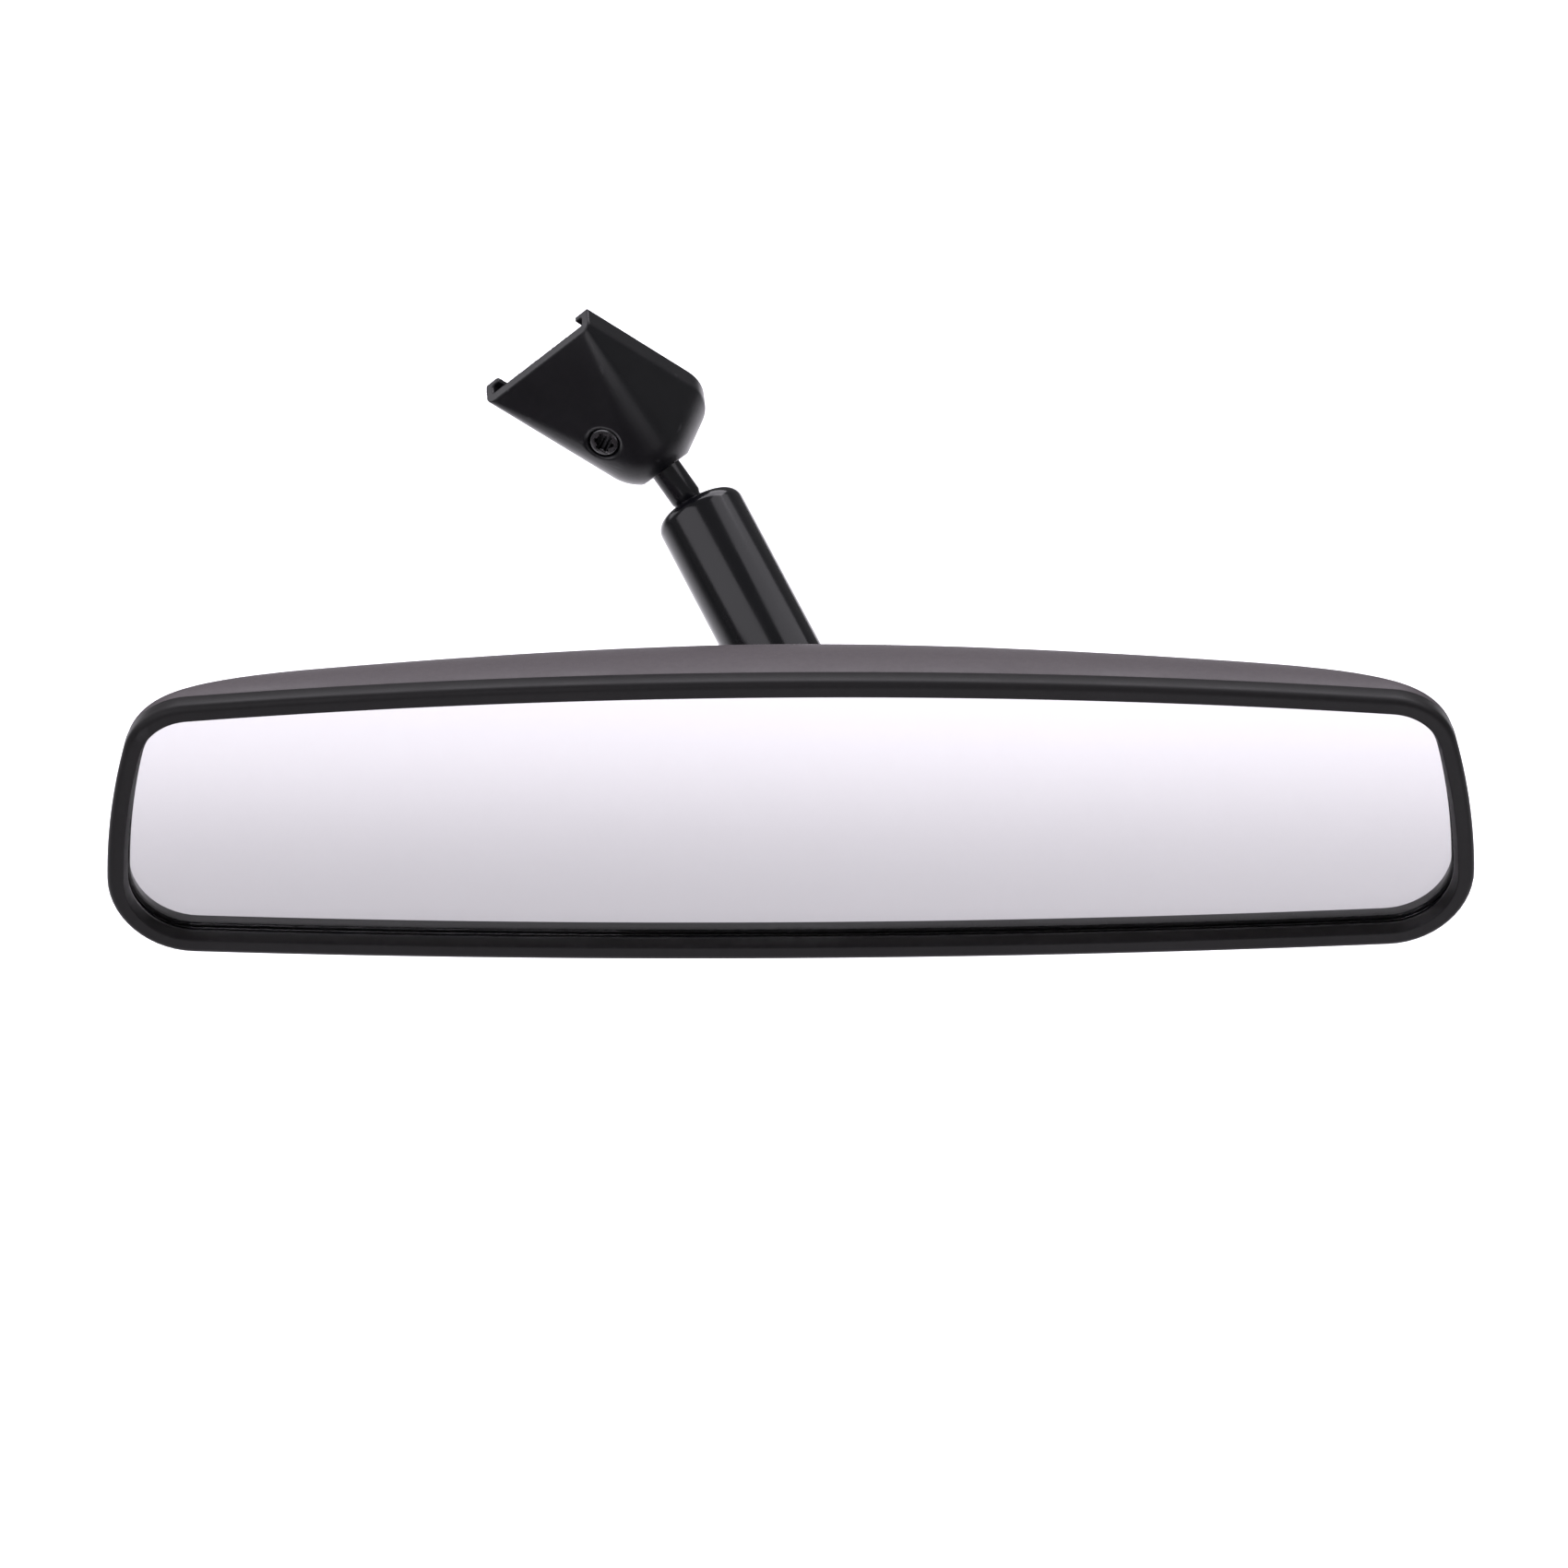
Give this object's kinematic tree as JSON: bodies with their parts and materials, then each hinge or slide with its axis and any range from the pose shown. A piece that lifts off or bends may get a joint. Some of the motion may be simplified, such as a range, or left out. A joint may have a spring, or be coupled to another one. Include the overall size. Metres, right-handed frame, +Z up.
{
  "type": "interior rearview mirror",
  "caption": "Interior car rearview mirror: a wide framed glass on a ball-jointed tubular arm with a windscreen bracket that slides onto a glued button.",
  "frame": {"origin": "middle of the bracket's button channel across its width, on the channel floor, at the local zero of its length", "axes": "+X along the mirror head, to the right as seen from the glass side; -Y the way the glass faces, into the cabin; +Z up"},
  "size_m": [0.253, 0.0883, 0.0994],
  "materials": {
    "windscreen_bracket": "gloss black paint over a zinc die casting",
    "set_screw": "black oxide",
    "upper_ball_stud": "gloss black over turned steel",
    "upper_ball_liner": "natural acetal, smooth",
    "upper_ball_seat": "filled nylon, smooth",
    "arm_tube": "gloss black paint on drawn tube",
    "arm_spring": "bright spring wire",
    "lower_ball_seat": "filled nylon, smooth",
    "lower_ball_liner": "natural acetal, smooth",
    "lower_ball_stud": "turned, zinc plated",
    "stud_plate": "pressed sheet, zinc plated",
    "plate_screws": "zinc plated",
    "stud_washer": "zinc plated",
    "stud_lock_washer": "phosphate spring steel",
    "stud_nut": "zinc plated",
    "rear_case": "fine moulded grain, matt",
    "front_bezel": "smooth satin moulding",
    "mirror_glass": "clear float glass, polished",
    "silver_coating": "silvered",
    "safety_film": "paint and safety film",
    "foam_pads": "closed-cell foam"
  },
  "bodies": {
    "bracket": {"windscreen_bracket": "windscreen_bracket", "upper_ball_stud": "upper_ball_stud"},
    "screw": {"set_screw": "set_screw"},
    "upper_liner": {"upper_ball_liner": "upper_ball_liner"},
    "upper_seat": {"upper_ball_seat": "upper_ball_seat"},
    "arm": {"arm_tube": "arm_tube", "arm_spring": "arm_spring"},
    "lower_seat": {"lower_ball_seat": "lower_ball_seat"},
    "lower_liner": {"lower_ball_liner": "lower_ball_liner"},
    "head": {"lower_ball_stud": "lower_ball_stud", "stud_plate": "stud_plate", "plate_screws": "plate_screws", "stud_washer": "stud_washer", "stud_lock_washer": "stud_lock_washer", "stud_nut": "stud_nut", "rear_case": "rear_case", "front_bezel": "front_bezel", "mirror_glass": "mirror_glass", "silver_coating": "silver_coating", "safety_film": "safety_film", "foam_pads": "foam_pads"}
  },
  "joints": [
    {"name": "set_screw_travel", "type": "slide", "parent": "bracket", "child": "screw", "axis": [0.2056, 0.9782, 0.0299], "range_m": [-0.003, 0.0025]},
    {"name": "upper_tilt", "type": "hinge", "parent": "bracket", "child": "upper_liner", "pos_m": [0.02138, -0.00818, -0.0249], "axis": [-0.752, 0.0863, -0.6535], "range_deg": [-40, 2.5]},
    {"name": "upper_side", "type": "hinge", "parent": "upper_liner", "child": "upper_seat", "pos_m": [0.02138, -0.00818, -0.0249], "axis": [-0.4817, -0.7487, 0.4554], "range_deg": [-8, 8]},
    {"name": "upper_twist", "type": "hinge", "parent": "upper_seat", "child": "arm", "pos_m": [0.02138, -0.00818, -0.0249], "axis": [-0.45, 0.6572, 0.6046], "range_deg": [-30, 30]},
    {"name": "lower_twist", "type": "hinge", "parent": "arm", "child": "lower_seat", "pos_m": [0.03713, -0.03118, -0.04606], "axis": [-0.45, 0.6572, 0.6046], "range_deg": [-30, 30]},
    {"name": "head_yaw", "type": "hinge", "parent": "lower_seat", "child": "lower_liner", "pos_m": [0.03713, -0.03118, -0.04606], "axis": [0, 0, 1], "range_deg": [-8, 25]},
    {"name": "head_pitch", "type": "hinge", "parent": "lower_liner", "child": "head", "pos_m": [0.03713, -0.03118, -0.04606], "axis": [1, 0, 0], "range_deg": [-6, 12]}
  ]
}
